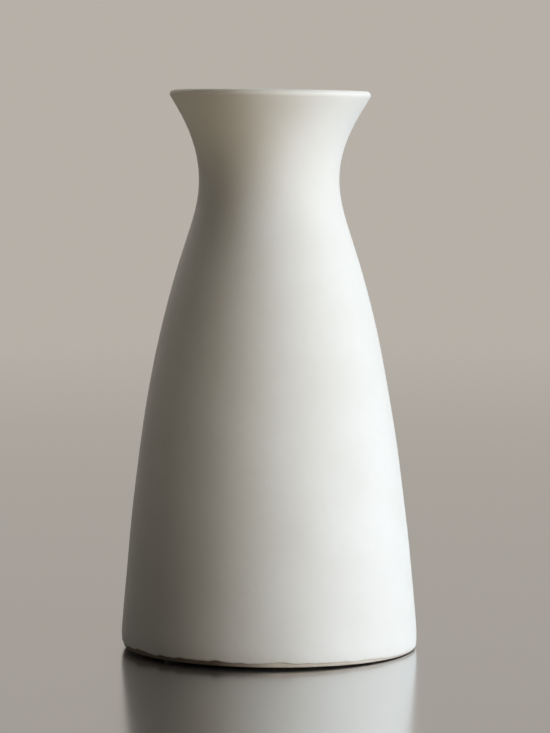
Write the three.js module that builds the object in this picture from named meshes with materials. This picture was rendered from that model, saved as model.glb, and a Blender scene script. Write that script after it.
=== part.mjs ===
// Carafe vase in matte white glazed stoneware. Millimetres, +Z up.
// The origin is on the table, in the middle of the foot.

import * as THREE from "three";

// Overall sizes, with the glaze and the pads
const HEIGHT = 306.1; // table to the crest of the lip
const BASE_DIAMETER = 162.4; // widest ring, just above the foot
const NECK_DIAMETER = 77; // narrowest ring
const MOUTH_DIAMETER = 109.8; // widest ring of the lip
const FLARE_HEIGHT = 48.8; // narrowest ring to the crest of the lip

// Sweep of the profile: how far it leans from upright at each end, in degrees,
// and how long it keeps that direction, as a share of the height that it climbs
const BASE_LEAN = 4.4; // inward, where the body leaves the foot
const MOUTH_LEAN = 30; // outward, where the flare meets the lip
const BODY_HOLD = 0.809; // up the body from the foot
const SHOULDER_HOLD = 0.142; // down the shoulder from the neck
const THROAT_HOLD = 0.455; // up the flare from the neck
const MOUTH_HOLD = 0.208; // down the flare from the lip

// Fired clay
const WALL = 5; // body and neck
const LIP_WALL = 3.4; // the wall thins to this through the flare
const FLOOR = 6; // clay over the recess
const FLOOR_FILLET = 12; // inside corner between floor and wall
const FOOT_ROUND_HEIGHT = 6.8; // rounded edge of the foot, foot plane to widest ring
const FOOT_ROUND_INSET = 0.8; // widest ring in to the flat of the foot
const FOOT_RING_WIDTH = 15; // flat ring that the pads are stuck to
const RECESS_DEPTH = 2; // turned underside, inside the foot ring

// Glaze
const OUTER_GLAZE = 0.6; // matte coat: outside, over the lip and down to the neck
const LINER_GLAZE = 0.4; // poured coat: neck down to the floor
const BARE_BAND = 2.2; // clay left bare above the foot plane
const LAYER_GAP = 0.05; // clear space between the clay and each coat

// Felt pads
const PAD_COUNT = 4;
const PAD_DIAMETER = 10;
const PAD_THICKNESS = 1.5;
const FIRST_PAD_ANGLE = 45; // degrees from +X

// Facets
const TURN_SEGMENTS = 40;
const PAD_SEGMENTS = 24;
const BODY_STEPS = 12;
const FLARE_STEPS = 7;
const LIP_STEPS = 6;
const FOOT_STEPS = 3; // in the bare part and in the glazed part of the rounded edge
const CORNER_STEPS = 4;
const HALVINGS = 40; // in the search for the floor's corner
const SAME_POINT = 0.001; // points nearer than this are one point

const { degToRad, lerp } = THREE.MathUtils;
const point = (radius, height) => new THREE.Vector2(radius, height);
const leaning = (degrees) => point(Math.sin(degToRad(degrees)), Math.cos(degToRad(degrees)));

// Curves in the half plane of radius and height

function sweep(start, startLean, startHold, end, endLean, endHold) {
  const climb = end.y - start.y;
  const leave = start.clone().addScaledVector(leaning(startLean), startHold * climb);
  const arrive = end.clone().addScaledVector(leaning(endLean), -endHold * climb);
  return new THREE.CubicBezierCurve(start, leave, arrive, end);
}

function arc(centre, width, height, from, to) {
  return new THREE.EllipseCurve(centre.x, centre.y, width, height, from, to, to < from);
}

// A place on a curve, with the direction that leads into the clay
function place(curve, share) {
  const along = curve.getTangent(share);
  return { at: curve.getPoint(share), inward: point(-along.y, along.x), share };
}

function walk(curve, steps, from = 0) {
  return Array.from({ length: steps + 1 }, (_, step) => place(curve, lerp(from, 1, step / steps)));
}

const setIn = (spot, depth) => spot.at.clone().addScaledVector(spot.inward, depth);

// Joins runs of points, with one point where two runs meet
function chain(...runs) {
  return runs.flat().filter((spot, i, all) => i === 0 || spot.distanceTo(all[i - 1]) > SAME_POINT);
}

// Outside of the clay: rounded foot, body, flare

const widestRadius = BASE_DIAMETER / 2 - OUTER_GLAZE;
const footRadius = widestRadius - FOOT_ROUND_INSET;
const footCentre = point(footRadius, PAD_THICKNESS + FOOT_ROUND_HEIGHT);
const footTop = Math.atan2(FOOT_ROUND_HEIGHT * Math.tan(degToRad(BASE_LEAN)), FOOT_ROUND_INSET);
const glazeLine = Math.asin(BARE_BAND / FOOT_ROUND_HEIGHT - 1);
const footArc = (from, to) => arc(footCentre, FOOT_ROUND_INSET, FOOT_ROUND_HEIGHT, from, to);
const bareFoot = footArc(-Math.PI / 2, glazeLine);
const glazedFoot = footArc(glazeLine, 0);
const footShoulder = footArc(0, footTop);

const neck = point(NECK_DIAMETER / 2 - OUTER_GLAZE, HEIGHT - FLARE_HEIGHT);
const body = sweep(footShoulder.getPoint(1), -BASE_LEAN, BODY_HOLD, neck, 0, SHOULDER_HOLD);

const lipRadius = LIP_WALL / 2 + OUTER_GLAZE;
const lipCentre = point(MOUTH_DIAMETER / 2 - lipRadius, HEIGHT - lipRadius);
const lipStart = -degToRad(MOUTH_LEAN);
const lipArc = (radius) => arc(lipCentre, radius, radius, lipStart, lipStart + Math.PI);
const flare = sweep(neck, 0, THROAT_HOLD, lipArc(LIP_WALL / 2).getPoint(0), MOUTH_LEAN, MOUTH_HOLD);

const barePlaces = walk(bareFoot, FOOT_STEPS);
const flarePlaces = walk(flare, FLARE_STEPS);
const glazedPlaces = [...walk(glazedFoot, FOOT_STEPS), ...walk(body, BODY_STEPS), ...flarePlaces];

// Inside: each layer lies its own depth past the inside face of the clay

const flareWall = (spot) => lerp(WALL, LIP_WALL, spot.share);
const flareInside = (depth) => flarePlaces.map((spot) => setIn(spot, flareWall(spot) + depth));

const recessHeight = PAD_THICKNESS + RECESS_DEPTH;
const floorHeight = recessHeight + FLOOR;

// The corner's centre lies as far from the wall as from the floor
function findCorner() {
  let low = 0;
  let high = 1;
  for (let pass = 0; pass < HALVINGS; pass += 1) {
    const middle = (low + high) / 2;
    const centre = setIn(place(body, middle), WALL + FLOOR_FILLET);
    if (centre.y < floorHeight + FLOOR_FILLET) low = middle;
    else high = middle;
  }
  return low;
}

const cornerShare = findCorner();
const cornerPlace = place(body, cornerShare);
const cornerCentre = setIn(cornerPlace, WALL + FLOOR_FILLET);
const cornerEnd = Math.atan2(-cornerPlace.inward.y, -cornerPlace.inward.x);
const insidePlaces = walk(body, BODY_STEPS, cornerShare);

function bodyInside(depth) {
  const radius = FLOOR_FILLET - depth;
  const corner = arc(cornerCentre, radius, radius, -Math.PI / 2, cornerEnd);
  const floorMiddle = point(0, floorHeight + depth);
  const wallFace = insidePlaces.map((spot) => setIn(spot, WALL + depth));
  return chain([floorMiddle], corner.getPoints(CORNER_STEPS), wallFace);
}

// Solids, turned about the axis

function turned(profile) {
  return new THREE.LatheGeometry(profile, TURN_SEGMENTS).rotateX(Math.PI / 2);
}

function stonewareBody() {
  const recessCentre = point(footRadius - FOOT_RING_WIDTH - RECESS_DEPTH, PAD_THICKNESS);
  const recessEdge = arc(recessCentre, RECESS_DEPTH, RECESS_DEPTH, Math.PI / 2, 0);
  return turned(
    chain(
      [point(0, recessHeight)],
      recessEdge.getPoints(CORNER_STEPS),
      [...barePlaces, ...glazedPlaces].map((spot) => spot.at),
      lipArc(LIP_WALL / 2).getPoints(LIP_STEPS),
      flareInside(0).reverse(),
      bodyInside(0).reverse(),
    ),
  );
}

function outerGlaze() {
  const glazeFace = [
    glazedPlaces.map((spot) => setIn(spot, -OUTER_GLAZE)),
    lipArc(lipRadius).getPoints(LIP_STEPS),
    flareInside(OUTER_GLAZE).reverse(),
  ];
  const clayFace = [
    glazedPlaces.map((spot) => setIn(spot, -LAYER_GAP)),
    lipArc(LIP_WALL / 2 + LAYER_GAP).getPoints(LIP_STEPS),
    flareInside(LAYER_GAP).reverse(),
  ];
  const outline = chain(...glazeFace, chain(...clayFace).reverse());
  return turned([...outline, outline[0]]);
}

function linerGlaze() {
  return turned(chain(bodyInside(LAYER_GAP), bodyInside(LINER_GLAZE).reverse()));
}

function feltPad() {
  const disc = new THREE.CylinderGeometry(PAD_DIAMETER / 2, PAD_DIAMETER / 2, PAD_THICKNESS, PAD_SEGMENTS);
  return disc.rotateX(Math.PI / 2);
}

// Materials

const clay = new THREE.MeshStandardMaterial({ color: 0xbcae9b, roughness: 0.9, metalness: 0 });
const matteWhite = new THREE.MeshStandardMaterial({ color: 0xeeece6, roughness: 0.55, metalness: 0 });
const linerWhite = new THREE.MeshStandardMaterial({ color: 0xe8e4da, roughness: 0.3, metalness: 0 });
const felt = new THREE.MeshStandardMaterial({ color: 0x2c2a28, roughness: 1, metalness: 0 });

// Assembly

const vase = new THREE.Group();

function addPiece(name, geometry, material) {
  const mesh = new THREE.Mesh(geometry, material);
  mesh.name = name;
  vase.add(mesh);
  return mesh;
}

addPiece("stoneware_body", stonewareBody(), clay);
addPiece("outer_glaze", outerGlaze(), matteWhite);
addPiece("liner_glaze", linerGlaze(), linerWhite);

const padRing = footRadius - FOOT_RING_WIDTH / 2;
for (let i = 0; i < PAD_COUNT; i += 1) {
  const angle = degToRad(FIRST_PAD_ANGLE + (360 * i) / PAD_COUNT);
  const pad = addPiece(`felt_pad_${i + 1}`, feltPad(), felt);
  pad.position.set(padRing * Math.cos(angle), padRing * Math.sin(angle), PAD_THICKNESS / 2);
}

export default vase;
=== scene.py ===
import math
import bpy
import numpy as np
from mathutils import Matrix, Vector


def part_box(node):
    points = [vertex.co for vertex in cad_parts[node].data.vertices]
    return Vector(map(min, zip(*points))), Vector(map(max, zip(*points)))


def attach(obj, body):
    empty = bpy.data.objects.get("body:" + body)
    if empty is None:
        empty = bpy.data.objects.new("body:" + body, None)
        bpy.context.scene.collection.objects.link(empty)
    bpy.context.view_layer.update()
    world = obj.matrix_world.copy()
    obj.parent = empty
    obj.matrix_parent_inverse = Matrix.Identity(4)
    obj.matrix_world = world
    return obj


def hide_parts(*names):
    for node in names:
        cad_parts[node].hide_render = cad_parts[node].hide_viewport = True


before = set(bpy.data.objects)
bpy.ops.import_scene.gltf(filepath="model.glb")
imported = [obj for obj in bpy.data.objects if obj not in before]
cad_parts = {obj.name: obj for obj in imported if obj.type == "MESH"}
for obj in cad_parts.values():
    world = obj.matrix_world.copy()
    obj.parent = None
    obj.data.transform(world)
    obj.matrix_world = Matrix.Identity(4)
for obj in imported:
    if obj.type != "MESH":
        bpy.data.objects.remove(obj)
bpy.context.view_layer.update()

MM = 0.001

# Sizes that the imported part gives
coat_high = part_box("outer_glaze")[1]
clay_low, clay_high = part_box("stoneware_body")
liner_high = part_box("liner_glaze")[1]
pad_low, pad_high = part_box("felt_pad_1")
crest_height = coat_high.z
neck_height = liner_high.z
foot_plane = clay_low.z
widest_radius = clay_high.x
coat_thickness = coat_high.x - clay_high.x
pad_radius = (pad_high.x - pad_low.x) / 2
pad_thickness = pad_high.z - pad_low.z

# Sizes of the profile, as in the part's source
NECK_RADIUS = 38.5 * MM
MOUTH_RADIUS = 54.9 * MM
BASE_LEAN = 4.4
MOUTH_LEAN = 30
BODY_HOLD = 0.809
SHOULDER_HOLD = 0.142
THROAT_HOLD = 0.455
MOUTH_HOLD = 0.208
WALL = 5 * MM
LIP_WALL = 3.4 * MM
FLOOR = 6 * MM
FLOOR_FILLET = 12 * MM
FOOT_ROUND_HEIGHT = 6.8 * MM
FOOT_ROUND_INSET = 0.8 * MM
FOOT_RING_WIDTH = 15 * MM
RECESS_DEPTH = 2 * MM
LINER_THICKNESS = 0.4 * MM
LAYER_GAP = 0.05 * MM
BARE_BAND = 2.2 * MM

# Lower edge of the coat, by the angle round the vase from the camera's side towards +X
DROP_ANGLE = 90  # where the coat runs lowest
DROP = 1.5 * MM
DROP_POWER = 4  # a higher power keeps the drop nearer to its angle
RAGGED_ANGLE = -45  # where the edge is most uneven
RAGGED_HEIGHT = 0.3 * MM
RAGGED_LEAST = 0.1  # share of the unevenness on the far side
RAGGED_POWER = 1.5
RAGGED_WAVES = (11, 17, 29, 43, 71)  # counts round the vase
RAGGED_FALL = 0.02  # finer waves are lower
LEAST_BAND = 0.5 * MM  # clay that stays bare everywhere
EDGE_ROLL = 0.9 * MM  # the coat rounds off over this length
EDGE_SETTLE = 12 * MM  # rows follow the edge up to this far above it
COAT_TAPER = 8 * MM  # the coat thins to the liner's thickness over this length

# Where the coat is thin and the clay shows through
THIN_EDGE = 1.2 * MM  # reach up from the lower edge
THIN_CREST = 1.6 * MM  # reach to both sides of the lip's crest
THIN_CREST_SHARE = 0.5

# Unevenness of the thrown wall
LIP_SHIFT = 0.6 * MM
LIP_TILT = 1.2 * MM  # the lip is this much lower on its +X side
BELLY_SHIFT = -0.42 * MM
BELLY_START = 0.08  # as a share of the height
BELLY_SPAN = 0.68
FOOT_DIP = 1.3 * MM  # the edge of the foot is this much lower on its +X side
FOOT_RISE = 0.4 * MM  # and this much higher on its -X side
DIP_WIDTH = 2.3 * MM
DIP_HEIGHT = 25 * MM
WALL_WAVE = 0.14 * MM
WALL_WAVES = ((2, 1.3), (3, -2.1), (5, 3.4), (1, 4.6), (4, -6.2), (7, 5.1))  # counts round and up
WAVE_FREE_HEIGHT = 40 * MM  # the waves set in over this height above the foot
WAVE_FREE_RADIUS = 30 * MM  # and over this distance from the axis

# Felt
PAD_RIM = 0.3 * MM  # rounding of the rim
PAD_FRAY = 0.22 * MM
PAD_FRAY_POWER = 4  # a higher power keeps the fray nearer to the rim
PAD_NAP = 0.05 * MM
PAD_MIDDLE = 0.08  # the first ring, as a share of the flat's radius

# Mesh steps
PATH_STEPS = 1500
SAME_POINT = 1e-9  # points of a path nearer than this are one point
COAT_SEGMENTS = 320
CLAY_SEGMENTS = 240
PAD_SEGMENTS = 72
STAGE_SEGMENTS = 128
EDGE_ROWS = 26
EDGE_CROWDING = 2.2  # a higher power brings the rows nearer to the edge
WALL_ROWS = 140
LIP_ROWS = 22
THROAT_ROWS = 30
BACK_ROWS = 44
UNDERSIDE_ROWS = 70
FOOT_ROWS = 20
COVERED_ROWS = 70
INSIDE_ROWS = 60
CLAY_POLE_GAP = 3 * MM  # the rings end this far from the axis
LINER_ROWS = 120
LINER_POLE_GAP = 2 * MM
PAD_FLAT_ROWS = 12
PAD_RIM_ROWS = 9
STAGE_CURVE_ROWS = 40
STAGE_FLOOR_ROWS = 30

SEED = 11
draw = np.random.default_rng(SEED)
wall_phases = draw.uniform(0, 2 * math.pi, len(WALL_WAVES))
edge_phases = draw.uniform(0, 2 * math.pi, len(RAGGED_WAVES))


# Paths in the half plane of radius and height


def column(values):
    return np.asarray(values, float)[:, None]


def leaning(degrees):
    return np.array([math.sin(math.radians(degrees)), math.cos(math.radians(degrees))])


def sweep(start, start_lean, start_hold, end, end_lean, end_hold):
    """A cubic curve that leaves and arrives with these leans from upright."""
    climb = end[1] - start[1]
    leave = start + leaning(start_lean) * start_hold * climb
    arrive = end - leaning(end_lean) * end_hold * climb
    share = column(np.linspace(0, 1, PATH_STEPS))
    rest = 1 - share
    return rest**3 * start + 3 * rest**2 * share * leave + 3 * rest * share**2 * arrive + share**3 * end


def arc(centre, width, height, start, end, steps=PATH_STEPS):
    turn = np.linspace(start, end, steps)
    return np.stack([centre[0] + width * np.cos(turn), centre[1] + height * np.sin(turn)], axis=1)


def outward(points):
    """The direction out of the clay at each point of a path that climbs outside it."""
    along = np.gradient(points, axis=0)
    along /= np.linalg.norm(along, axis=1, keepdims=True)
    return np.stack([along[:, 1], -along[:, 0]], axis=1)


class Path:
    """A path on the clay's face, read by the distance along it and the lift off the clay."""

    def __init__(self, *runs):
        points = np.concatenate(runs)
        steps = np.linalg.norm(np.diff(points, axis=0), axis=1)
        kept = np.concatenate([[True], steps > SAME_POINT])
        last_points = np.cumsum([len(run) for run in runs]) - 1
        self.points = points[kept]
        self.along = np.concatenate([[0], np.cumsum(steps[kept[1:]])])
        self.out = outward(self.points)
        self.length = self.along[-1]
        self.run_ends = self.along[(np.cumsum(kept) - 1)[last_points]]

    def read(self, distance, lift=0.0):
        radius, height, out_radius, out_height = (
            np.interp(distance, self.along, values)
            for values in (*self.points.T, *self.out.T)
        )
        return radius + lift * out_radius, height + lift * out_height

    def distance_at_height(self, height, before):
        """The distance at which the path's first part, up to a distance, reaches a height."""
        part = self.along <= before
        return np.interp(height, self.points[part, 1], self.along[part])


foot_radius = widest_radius - FOOT_ROUND_INSET
foot_centre = np.array([foot_radius, foot_plane + FOOT_ROUND_HEIGHT])
foot_top = math.atan2(FOOT_ROUND_HEIGHT * math.tan(math.radians(BASE_LEAN)), FOOT_ROUND_INSET)
foot_face = arc(foot_centre, FOOT_ROUND_INSET, FOOT_ROUND_HEIGHT, -math.pi / 2, foot_top)

neck = np.array([NECK_RADIUS - coat_thickness, neck_height])
body_face = sweep(foot_face[-1], -BASE_LEAN, BODY_HOLD, neck, 0, SHOULDER_HOLD)

lip_radius = LIP_WALL / 2
lip_centre = np.array([MOUTH_RADIUS, crest_height]) - lip_radius - coat_thickness
lip_start = -math.radians(MOUTH_LEAN)
lip_face = arc(lip_centre, lip_radius, lip_radius, lip_start, lip_start + math.pi)
flare_face = sweep(neck, 0, THROAT_HOLD, lip_face[0], MOUTH_LEAN, MOUTH_HOLD)

flare_wall = column(np.linspace(WALL, LIP_WALL, PATH_STEPS))
flare_inside = flare_face - outward(flare_face) * flare_wall
recess_height = foot_plane + RECESS_DEPTH
floor_height = recess_height + FLOOR

# The inside corner's centre lies as far from the wall as from the floor
body_out = outward(body_face)
corner_centres = body_face - body_out * (WALL + FLOOR_FILLET)
corner_step = int(np.argmax(corner_centres[:, 1] >= floor_height + FLOOR_FILLET))
corner_centre = corner_centres[corner_step]
corner_end = math.atan2(body_out[corner_step, 1], body_out[corner_step, 0])
corner_face = arc(corner_centre, FLOOR_FILLET, FLOOR_FILLET, corner_end, -math.pi / 2)
body_inside = (body_face - body_out * WALL)[corner_step:]

outside = Path(foot_face, body_face, flare_face, lip_face, flare_inside[::-1])
inside = Path(body_inside[::-1], corner_face, [[0, floor_height]])
foot_end, _, flare_end, lip_end, _ = outside.run_ends


# Rings of points round an upright line


def smooth(share):
    share = np.clip(share, 0, 1)
    return share * share * (3 - 2 * share)


def bump(angle, centre):
    """1 at the centre, falling to 0 on the far side of the vase."""
    return 0.5 + 0.5 * np.cos(angle - math.radians(centre))


def turns(segments):
    return np.arange(segments) * 2 * math.pi / segments


def place_rings(radius, height, turn, middle_x=0.0, middle_y=0.0):
    x = middle_x + radius * np.cos(turn)
    y = middle_y + radius * np.sin(turn)
    return np.stack([x, y, height + 0 * turn], axis=-1)


def thrown(radius, height, segments):
    """Rings from rows of radius and height, with the unevenness of a hand-thrown wall."""
    turn = turns(segments)
    rise = height / crest_height
    waves = [
        np.sin(count * turn + pitch * 2 * math.pi * rise + phase)
        for (count, pitch), phase in zip(WALL_WAVES, wall_phases)
    ]
    wave = sum(waves) / len(waves)
    above_foot = height - foot_plane
    wave_share = smooth(above_foot / WAVE_FREE_HEIGHT) * smooth(radius / WAVE_FREE_RADIUS)
    radius = radius - WALL_WAVE * (1 + wave) * wave_share
    lip_share = smooth((height - neck_height) / (crest_height - neck_height))
    belly_share = np.sin(math.pi * np.clip((rise - BELLY_START) / BELLY_SPAN, 0, 1)) ** 2
    shift = LIP_SHIFT * lip_share + BELLY_SHIFT * belly_share
    edge_share = smooth((radius - foot_radius) / DIP_WIDTH + 1) * smooth(1 - above_foot / DIP_HEIGHT)
    towards_x = bump(turn, 0)
    foot_drop = FOOT_DIP * towards_x**2 - FOOT_RISE * (1 - towards_x**2)
    height = height - LIP_TILT * lip_share * towards_x - foot_drop * edge_share
    return place_rings(radius, height, turn, shift)


# Meshes


def build_mesh(name, rings, closed=False, first_pole=None, last_pole=None):
    """Quads between rings of points.
    A closed mesh joins the last ring to the first, and a pole caps an end."""
    rows, segments, _ = rings.shape
    index = np.arange(rows * segments).reshape(rows, segments)
    following = np.roll(index, -1, axis=1)
    corners = (index, following, np.roll(following, -1, axis=0), np.roll(index, -1, axis=0))
    strips = np.stack(corners, axis=-1)
    faces = (strips if closed else strips[:-1]).reshape(-1, len(corners)).tolist()
    points = rings.reshape(-1, 3).tolist()
    for pole, ring, order in ((first_pole, 0, 1), (last_pole, -1, -1)):
        if pole is not None:
            pairs = zip(index[ring].tolist(), following[ring].tolist())
            faces += [[here, len(points), there][::order] for here, there in pairs]
            points.append(list(pole))
    mesh = bpy.data.meshes.new(name)
    mesh.from_pydata(points, [], faces)
    mesh.polygons.foreach_set("use_smooth", [True] * len(mesh.polygons))
    mesh.update()
    made = bpy.data.objects.new(name, mesh)
    bpy.context.scene.collection.objects.link(made)
    return made


def set_attribute(made, name, values):
    """Gives the first points of a mesh these values, and the rest 0."""
    attribute = made.data.attributes.new(name, "FLOAT", "POINT")
    filled = np.zeros(len(made.data.vertices), np.float32)
    filled[: values.size] = values.ravel()
    attribute.data.foreach_set("value", filled)


def finish_piece(made, material, slot, *nodes):
    made.data.materials.append(material)
    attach(made, "root")
    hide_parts(*nodes)


# Node helpers

MIX_SHARE = 0  # sockets of a Mix node that blends colours
MIX_FIRST = 6
MIX_SECOND = 7
MIX_RESULT = 2
SPOT_CORE = 0.5  # a spot is at full strength inside this share of its radius
NO_BOUNCE = 0.5  # a count of bounces under this is none


def new_material(name):
    material = bpy.data.materials.new(name)
    material.use_nodes = True
    return material, material.node_tree, material.node_tree.nodes["Principled BSDF"]


def add_node(tree, kind, sockets=None, **settings):
    made = tree.nodes.new("ShaderNode" + kind)
    for name, value in settings.items():
        setattr(made, name, value)
    fill_sockets(tree, made, sockets or {})
    return made


def fill_sockets(tree, node, sockets):
    for name, value in sockets.items():
        if isinstance(value, bpy.types.NodeSocket):
            tree.links.new(value, node.inputs[name])
        else:
            node.inputs[name].default_value = value


def set_looks(tree, shader, colour, roughness, normal):
    fill_sockets(tree, shader, {"Base Color": colour, "Roughness": roughness, "Normal": normal})


def place_of(tree):
    return add_node(tree, "TexCoord").outputs["Object"]


def noise(tree, place, size, detail=3.0, roughness=0.5):
    """Noise from 0 to 1 with features of about this size."""
    sockets = {"Vector": place, "Scale": 1 / size, "Detail": detail, "Roughness": roughness}
    return add_node(tree, "TexNoise", sockets).outputs["Fac"]


def spread(tree, value, low, high, to_low=0.0, to_high=1.0, kind="LINEAR"):
    """Maps low to to_low and high to to_high, and stays between them."""
    sockets = {"Value": value, "From Min": low, "From Max": high, "To Min": to_low, "To Max": to_high}
    return add_node(tree, "MapRange", sockets, interpolation_type=kind).outputs["Result"]


def blend_colour(tree, share, first, second):
    made = add_node(tree, "Mix", data_type="RGBA")
    fill_sockets(tree, made, {MIX_SHARE: share, MIX_FIRST: first, MIX_SECOND: second})
    return made.outputs[MIX_RESULT]


def mix_shaders(tree, share, first, second):
    return add_node(tree, "MixShader", {0: share, 1: first, 2: second}).outputs[0]


def maths(tree, operation, first, second):
    return add_node(tree, "Math", {0: first, 1: second}, operation=operation).outputs[0]


def times(tree, first, second):
    return maths(tree, "MULTIPLY", first, second)


def add_bump(tree, height, depth, normal=None):
    sockets = {"Height": height, "Distance": depth, "Strength": 1.0}
    if normal:
        sockets["Normal"] = normal
    return add_node(tree, "Bump", sockets).outputs["Normal"]


def dots(tree, place, spacing, radius, share):
    """Small round spots: 1 in a spot, 0 elsewhere. Only this share of the cells has one."""
    cells = add_node(tree, "TexVoronoi", {"Vector": place, "Scale": 1 / spacing})
    distance = cells.outputs["Distance"]
    inside_spot = spread(tree, distance, low=radius / spacing, high=SPOT_CORE * radius / spacing)
    red = add_node(tree, "SeparateColor", {"Color": cells.outputs["Color"]}).outputs["Red"]
    return times(tree, inside_spot, maths(tree, "LESS_THAN", red, share))


def seen_share(tree):
    """1 for a ray that shows the surface to the camera, straight or mirrored, 0 for one that lights."""
    kinds = add_node(tree, "LightPath").outputs
    looking = maths(tree, "MAXIMUM", kinds["Is Camera Ray"], kinds["Is Glossy Ray"])
    unscattered = maths(tree, "LESS_THAN", kinds["Diffuse Depth"], NO_BOUNCE)
    return times(tree, looking, unscattered)


# Materials

GLAZE_WHITE = (0.85, 0.845, 0.825, 1)
GLAZE_CLOUD = (0.81, 0.8, 0.77, 1)
GLAZE_THIN = (0.66, 0.6, 0.5, 1)
GLAZE_SPECK = (0.5, 0.43, 0.34, 1)
GLAZE_SPECK_SHARE = 0.4
CLAY_PALE = (0.73, 0.66, 0.59, 1)
CLAY_DARK = (0.63, 0.555, 0.48, 1)
CLAY_PAINTED_SHADE = (0.125, 0.092, 0.066, 1)  # painted shade: the bare foot is darker on its -X side, away from the lamps
PAINTED_SHADE_START = 0.03 * foot_radius  # along X
PAINTED_SHADE_FULL = -0.36 * foot_radius
CLAY_GROG = (0.24, 0.17, 0.12, 1)
CLAY_GROG_SHARE = 0.6
TURNING_PITCH = 2.2 * MM
WAVE_PERIOD = 0.31  # metres between the rings of a wave texture of scale 1
LINER_PALE = (0.82, 0.8, 0.74, 1)
LINER_WARM = (0.76, 0.72, 0.64, 1)
LINER_SPECK_SHARE = 0.5
FELT_DARK = (0.012, 0.011, 0.01, 1)
FELT_GREY = (0.045, 0.042, 0.04, 1)
STAGE_FLOOR_PALE = (0.67, 0.675, 0.68, 1)
STAGE_FLOOR_SHADE = (0.64, 0.645, 0.65, 1)
STAGE_WALL_TONE = (0.47, 0.435, 0.39, 1)
STAGE_FLOOR_END = 0.7  # metres from the middle: floor up to here
STAGE_WALL_START = 2.8  # plain wall from here


def glaze_material():
    material, tree, shader = new_material("matte_white_glaze")
    place = place_of(tree)
    clouds = noise(tree, place, size=45 * MM, detail=2)
    mottle = noise(tree, place, size=5 * MM, detail=4)
    grain = noise(tree, place, size=0.7 * MM, detail=2)
    specks = dots(tree, place, spacing=9 * MM, radius=0.3 * MM, share=0.22)
    pinholes = dots(tree, place, spacing=4 * MM, radius=0.22 * MM, share=0.2)
    thin = add_node(tree, "Attribute", attribute_name="thin").outputs["Fac"]
    thin = times(tree, thin, spread(tree, mottle, low=0.3, high=0.7, to_low=0.1, to_high=0.5))
    cloud_share = spread(tree, clouds, low=0.35, high=0.7)
    mottle_share = spread(tree, mottle, low=0.5, high=0.75, to_high=0.35)
    colour = blend_colour(tree, cloud_share, GLAZE_WHITE, GLAZE_CLOUD)
    colour = blend_colour(tree, mottle_share, colour, GLAZE_CLOUD)
    colour = blend_colour(tree, thin, colour, GLAZE_THIN)
    colour = blend_colour(tree, times(tree, specks, GLAZE_SPECK_SHARE), colour, GLAZE_SPECK)
    normal = add_bump(tree, clouds, depth=0.25 * MM)
    normal = add_bump(tree, mottle, depth=0.06 * MM, normal=normal)
    normal = add_bump(tree, grain, depth=0.012 * MM, normal=normal)
    normal = add_bump(tree, times(tree, pinholes, -1), depth=0.05 * MM, normal=normal)
    roughness = spread(tree, mottle, low=0.25, high=0.75, to_low=0.5, to_high=0.64)
    set_looks(tree, shader, colour, roughness, normal)
    return material


def clay_material():
    material, tree, shader = new_material("bare_clay")
    place = place_of(tree)
    clouds = noise(tree, place, size=14 * MM, detail=3)
    grain = noise(tree, place, size=0.6 * MM, detail=4, roughness=0.65)
    grog = dots(tree, place, spacing=1.6 * MM, radius=0.35 * MM, share=0.35)
    across = add_node(tree, "SeparateXYZ", {"Vector": place}).outputs["X"]
    # painted shade: the bare clay darkens towards -X, the side of the foot that lies in shade
    painted_shade = spread(tree, across, low=PAINTED_SHADE_START, high=PAINTED_SHADE_FULL)
    painted_shade = times(tree, painted_shade, spread(tree, clouds, low=0.25, high=0.75, to_low=0.9))
    colour = blend_colour(tree, spread(tree, clouds, low=0.3, high=0.7), CLAY_PALE, CLAY_DARK)
    colour = blend_colour(tree, spread(tree, grain, low=0.5, high=0.8, to_high=0.5), colour, CLAY_DARK)
    colour = blend_colour(tree, painted_shade, colour, CLAY_PAINTED_SHADE)
    colour = blend_colour(tree, times(tree, grog, CLAY_GROG_SHARE), colour, CLAY_GROG)
    normal = add_bump(tree, turning_marks(tree, place), depth=0.05 * MM)
    normal = add_bump(tree, grain, depth=0.06 * MM, normal=normal)
    normal = add_bump(tree, grog, depth=0.04 * MM, normal=normal)
    roughness = spread(tree, grain, low=0.2, high=0.8, to_low=0.78, to_high=0.96)
    set_looks(tree, shader, colour, roughness, normal)
    return material


def turning_marks(tree, place):
    """Fine rings round the axis, as a turning tool leaves them."""
    sockets = {
        "Vector": place,
        "Scale": WAVE_PERIOD / TURNING_PITCH,
        "Distortion": 1.5,
        "Detail": 2.0,
        "Detail Scale": 0.4,
    }
    marks = add_node(tree, "TexWave", sockets, wave_type="RINGS", rings_direction="Z")
    return marks.outputs["Fac"]


def liner_material():
    material, tree, shader = new_material("satin_liner_glaze")
    place = place_of(tree)
    clouds = noise(tree, place, size=25 * MM, detail=3)
    ripple = noise(tree, place, size=6 * MM, detail=2)
    specks = dots(tree, place, spacing=7 * MM, radius=0.3 * MM, share=0.3)
    colour = blend_colour(tree, spread(tree, clouds, low=0.3, high=0.7), LINER_PALE, LINER_WARM)
    colour = blend_colour(tree, times(tree, specks, LINER_SPECK_SHARE), colour, GLAZE_SPECK)
    normal = add_bump(tree, clouds, depth=0.08 * MM)
    normal = add_bump(tree, ripple, depth=0.01 * MM, normal=normal)
    roughness = spread(tree, ripple, low=0.25, high=0.75, to_low=0.3, to_high=0.4)
    set_looks(tree, shader, colour, roughness, normal)
    return material


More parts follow.
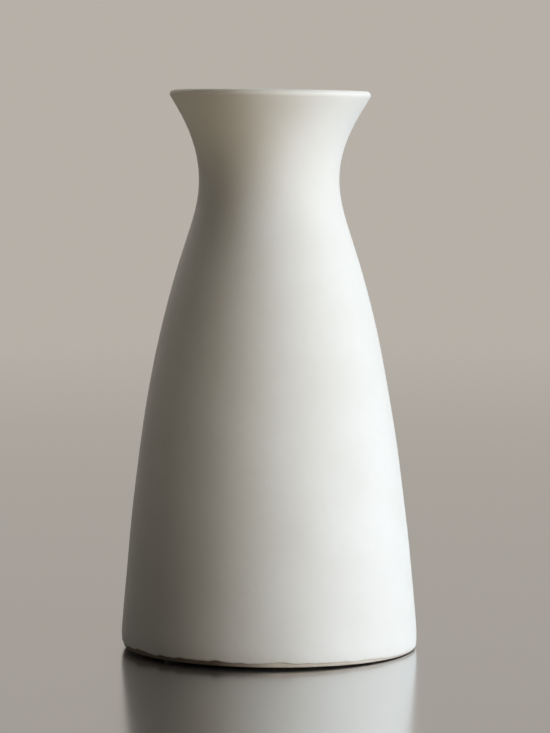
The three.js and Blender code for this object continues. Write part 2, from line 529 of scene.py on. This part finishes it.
def felt_material():
    material, tree, shader = new_material("charcoal_felt")
    place = place_of(tree)
    fibres = noise(tree, place, size=0.35 * MM, detail=5, roughness=0.7)
    clumps = noise(tree, place, size=2.2 * MM, detail=2)
    colour = blend_colour(tree, spread(tree, fibres, low=0.3, high=0.75), FELT_DARK, FELT_GREY)
    colour = blend_colour(tree, spread(tree, clumps, low=0.45, high=0.8, to_high=0.6), colour, FELT_DARK)
    normal = add_bump(tree, fibres, depth=0.15 * MM)
    normal = add_bump(tree, clumps, depth=0.1 * MM, normal=normal)
    roughness = spread(tree, fibres, low=0.2, high=0.8, to_low=0.88, to_high=1.0)
    set_looks(tree, shader, colour, roughness, normal)
    fill_sockets(tree, shader, {"Sheen Weight": 0.35, "Sheen Roughness": 0.5})
    return material


def stage_material():
    """A satin floor that turns into a plain wall. The wall has its tone only where it is seen."""
    material, tree, shader = new_material("pale_stage")
    place = place_of(tree)
    clouds = noise(tree, place, size=350 * MM, detail=2)
    fine = noise(tree, place, size=3 * MM, detail=3)
    colour = blend_colour(tree, clouds, STAGE_FLOOR_PALE, STAGE_FLOOR_SHADE)
    roughness = spread(tree, fine, low=0.2, high=0.8, to_low=0.15, to_high=0.19)
    fill_sockets(tree, shader, {"Base Color": colour, "Metallic": 0.96, "Roughness": roughness})
    from_middle = add_node(tree, "VectorMath", {0: place}, operation="LENGTH").outputs["Value"]
    wall_share = spread(tree, from_middle, low=STAGE_FLOOR_END, high=STAGE_WALL_START, kind="SMOOTHSTEP")
    plain = add_node(tree, "BsdfDiffuse", {"Color": STAGE_WALL_TONE}).outputs[0]
    toned = add_node(tree, "Emission", {"Color": STAGE_WALL_TONE, "Strength": 1.0}).outputs[0]
    wall = mix_shaders(tree, seen_share(tree), plain, toned)
    stage_surface = mix_shaders(tree, wall_share, shader.outputs[0], wall)
    tree.links.new(stage_surface, tree.nodes["Material Output"].inputs["Surface"])
    return material


# Outer coat: ragged rolled edge at the foot, over the lip, down to the neck


def coat_edge_height(around):
    ragged = sum(
        np.sin(count * around + phase) / (1 + RAGGED_FALL * count)
        for count, phase in zip(RAGGED_WAVES, edge_phases)
    )
    ragged_share = RAGGED_LEAST + (1 - RAGGED_LEAST) * bump(around, RAGGED_ANGLE) ** RAGGED_POWER
    height = foot_plane + BARE_BAND - DROP * bump(around, DROP_ANGLE) ** DROP_POWER
    height = height + RAGGED_HEIGHT * ragged_share * ragged
    return np.maximum(height, foot_plane + LEAST_BAND)


def coat_face_rows(edge_distance):
    """Distances along the outside: a row for each ring and a column for each angle."""
    settled = outside.distance_at_height(foot_plane + BARE_BAND, foot_end) + EDGE_SETTLE
    edge_shares = column(np.linspace(0, 1, EDGE_ROWS) ** EDGE_CROWDING)
    parts = [edge_distance + (settled - edge_distance) * edge_shares]
    start = settled
    for end, count in ((flare_end, WALL_ROWS), (lip_end, LIP_ROWS), (outside.length, THROAT_ROWS)):
        parts.append(column(np.linspace(start, end, count)[1:]) + 0 * edge_distance)
        start = end
    return np.concatenate(parts)


def make_coat():
    around = turns(COAT_SEGMENTS) + math.pi / 2  # 0 on the camera's side, growing towards +X
    edge_distance = outside.distance_at_height(coat_edge_height(around), foot_end)
    face_rows = coat_face_rows(edge_distance)
    from_edge = face_rows - edge_distance
    to_end = outside.length - face_rows
    roll = np.sqrt(1 - (1 - np.clip(from_edge / EDGE_ROLL, 0, 1)) ** 2)
    thickness = LINER_THICKNESS + (coat_thickness - LINER_THICKNESS) * smooth(to_end / COAT_TAPER)
    face_rings = thrown(*outside.read(face_rows, roll * thickness), COAT_SEGMENTS)

    back_start = edge_distance + EDGE_ROLL / 2
    back_rows = back_start + (outside.length - back_start) * column(np.linspace(1, 0, BACK_ROWS))
    back_rings = thrown(*outside.read(back_rows, LAYER_GAP), COAT_SEGMENTS)
    coat = build_mesh("glaze_coat", np.concatenate([face_rings, back_rings]), closed=True)

    crest_distance = outside.along[np.argmax(outside.points[:, 1])]
    thin_edge = np.exp(-from_edge / THIN_EDGE)
    thin_crest = THIN_CREST_SHARE * np.exp(-((face_rows - crest_distance) / THIN_CREST) ** 2)
    set_attribute(coat, "thin", np.maximum(thin_edge, thin_crest))
    finish_piece(coat, glaze_material(), "matte_glaze", "outer_glaze")


# Clay: bare foot and turned underside show, the rest lies under the coats


def make_clay():
    recess_centre = (foot_radius - FOOT_RING_WIDTH - RECESS_DEPTH, foot_plane)
    recess_edge = arc(recess_centre, RECESS_DEPTH, RECESS_DEPTH, math.pi / 2, 0)
    underside = Path([[0, recess_height]], recess_edge, [[foot_radius, foot_plane]])
    parts = (
        (underside, np.linspace(CLAY_POLE_GAP, underside.length, UNDERSIDE_ROWS)),
        (outside, np.linspace(0, foot_end, FOOT_ROWS)[1:]),
        (outside, np.linspace(foot_end, outside.length, COVERED_ROWS)[1:]),
        (inside, np.linspace(0, inside.length - CLAY_POLE_GAP, INSIDE_ROWS)[1:]),
    )
    rings = np.concatenate([thrown(*path.read(column(rows)), CLAY_SEGMENTS) for path, rows in parts])
    clay = build_mesh("clay_body", rings, False, (0, 0, recess_height), (0, 0, floor_height))
    finish_piece(clay, clay_material(), "clay", "stoneware_body")


# Liner: neck down to the floor


def make_liner():
    rows = column(np.linspace(0, inside.length - LINER_POLE_GAP, LINER_ROWS))
    back_rings = thrown(*inside.read(rows[::-1], LAYER_GAP), CLAY_SEGMENTS)
    face_rings = thrown(*inside.read(rows, LINER_THICKNESS), CLAY_SEGMENTS)
    poles = [(0, 0, floor_height + lift) for lift in (LAYER_GAP, LINER_THICKNESS)]
    liner = build_mesh("liner_coat", np.concatenate([back_rings, face_rings]), False, *poles)
    finish_piece(liner, liner_material(), "liner_glaze", "liner_glaze")


# Felt pads: pressed discs with a soft uneven rim


def make_pad(node, felt):
    low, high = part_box(node)
    centre = (low + high) / 2
    flat_radius = pad_radius - PAD_RIM
    half_thickness = pad_thickness / 2
    rim = arc((flat_radius, 0), PAD_RIM, half_thickness, -math.pi / 2, math.pi / 2, PAD_RIM_ROWS)[1:-1]
    flat = np.linspace(PAD_MIDDLE, 1, PAD_FLAT_ROWS) * flat_radius
    radius = column(np.concatenate([flat, rim[:, 0], flat[::-1]]))
    height = column(np.concatenate([0 * flat - half_thickness, rim[:, 1], 0 * flat + half_thickness]))
    grid = (len(radius), PAD_SEGMENTS)
    fray = PAD_FRAY * draw.uniform(0, 1, grid) * (radius / pad_radius) ** PAD_FRAY_POWER
    nap = 1 - PAD_NAP / half_thickness * draw.uniform(0, 1, grid)
    turn = turns(PAD_SEGMENTS)
    rings = place_rings(radius - fray, centre.z + height * nap, turn, centre.x, centre.y)
    poles = [(centre.x, centre.y, centre.z + side * half_thickness) for side in (-1, 1)]
    pad = build_mesh(node + "_felt", rings, False, *poles)
    finish_piece(pad, felt, "felt", node)


make_coat()
make_clay()
make_liner()

felt = felt_material()
for node in sorted(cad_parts):
    if node.startswith("felt_pad_"):
        make_pad(node, felt)

# Stage: a floor that curves up into a wall all round, in metres

STAGE_RADIUS = 3.2
STAGE_CURVE = 1.6
STAGE_TOP = 4.5

wall_top = [[STAGE_RADIUS + STAGE_CURVE, STAGE_TOP]]
stage_centre = (STAGE_RADIUS, STAGE_CURVE)
wall_foot = arc(stage_centre, STAGE_CURVE, STAGE_CURVE, 0, -math.pi / 2, STAGE_CURVE_ROWS)
floor_rows = [[radius, 0] for radius in np.linspace(STAGE_RADIUS, 0, STAGE_FLOOR_ROWS)[1:-1]]
stage_radius, stage_height = np.concatenate([wall_top, wall_foot, floor_rows]).T
stage_rings = place_rings(column(stage_radius), column(stage_height), turns(STAGE_SEGMENTS))
stage = build_mesh("stage", stage_rings, last_pole=(0, 0, 0))
stage.data.materials.append(stage_material())

# Light: two large soft lamps and a low one on the +X side, one from behind, and two weak fills

KEY_DISTANCE = 2.2  # metres
LOW_DISTANCE = 1.2
FILL_DISTANCE = 0.8
WORLD_LIGHT = 0.01
OPEN_BEAM = 180  # degrees

vase_middle = np.array([0, 0, crest_height / 2])


def softbox(name, azimuth, elevation, distance, size, power, colour, lift=0, beam=OPEN_BEAM):
    """A soft lamp that faces a point of the axis, this much above the middle of the vase.
    Azimuth 0 is the camera's side, and grows towards +X."""
    turn = math.radians(azimuth)
    tilt = math.radians(elevation)
    away = np.array([math.sin(turn) * math.cos(tilt), -math.cos(turn) * math.cos(tilt), math.sin(tilt)])
    lamp = bpy.data.lights.new(name, "AREA")
    lamp.shape = "RECTANGLE"
    lamp.size, lamp.size_y = size
    lamp.energy = power
    lamp.color = colour
    lamp.spread = math.radians(beam)
    made = bpy.data.objects.new(name, lamp)
    made.location = vase_middle + np.array([0, 0, lift]) + away * distance
    made.rotation_euler = (math.pi / 2 - tilt, 0, turn)
    made.visible_camera = False
    made.visible_glossy = False
    bpy.context.scene.collection.objects.link(made)


softbox(
    "front_key",
    azimuth=55,
    elevation=10,
    distance=KEY_DISTANCE,
    size=(1.4, 0.7),
    power=31.5,
    colour=(1.0, 0.92, 0.8),
)
softbox(
    "side_key",
    azimuth=76,
    elevation=15,
    distance=KEY_DISTANCE,
    size=(1.4, 0.9),
    power=34.5,
    colour=(0.66, 0.81, 0.97),
)
softbox(
    "low_key",
    azimuth=70,
    elevation=2,
    distance=LOW_DISTANCE,
    size=(0.2, 0.06),
    power=0.0145,
    colour=(0.62, 0.75, 0.97),
    lift=-0.15,
    beam=17,
)
softbox(
    "back",
    azimuth=-175,
    elevation=52,
    distance=KEY_DISTANCE,
    size=(1.2, 1.2),
    power=28,
    colour=(1.0, 0.96, 0.9),
)
softbox(
    "fill",
    azimuth=-27,
    elevation=-4,
    distance=FILL_DISTANCE,
    size=(0.12, 0.12),
    power=0.02,
    colour=(1.0, 0.9, 0.7),
    lift=0.035,
    beam=38,
)
softbox(
    "mouth_fill",
    azimuth=-25,
    elevation=-17,
    distance=FILL_DISTANCE,
    size=(0.2, 0.03),
    power=0.0038,
    colour=(1.0, 0.83, 0.52),
    lift=0.155,
    beam=8,
)

world = bpy.data.worlds.new("studio")
world.use_nodes = True
sky = world.node_tree
lit = sky.nodes["Background"]
fill_sockets(sky, lit, {"Color": STAGE_WALL_TONE, "Strength": WORLD_LIGHT})
shown = add_node(sky, "Background", {"Color": STAGE_WALL_TONE, "Strength": 1.0})
sky_surface = mix_shaders(sky, seen_share(sky), lit.outputs[0], shown.outputs[0])
sky.links.new(sky_surface, sky.nodes["World Output"].inputs["Surface"])
bpy.context.scene.world = world
bpy.context.scene.view_settings.view_transform = "Standard"

# Camera, fitted to the photograph together with the outline, in metres and degrees

PICTURE_HEIGHT = 733
FOCAL_PIXELS = 3120.8
SENSOR = 36
CAMERA_DISTANCE = 1.7068
CAMERA_HEIGHT = 0.278
CAMERA_PITCH = 4.132  # down
CAMERA_YAW = 0.108  # to the right

lens = bpy.data.cameras.new("camera")
lens.sensor_width = SENSOR
lens.lens = FOCAL_PIXELS / PICTURE_HEIGHT * SENSOR
camera = bpy.data.objects.new("camera", lens)
camera.location = (0, -CAMERA_DISTANCE, CAMERA_HEIGHT)
camera.rotation_euler = (math.radians(90 - CAMERA_PITCH), 0, -math.radians(CAMERA_YAW))
bpy.context.scene.collection.objects.link(camera)
bpy.context.scene.camera = camera
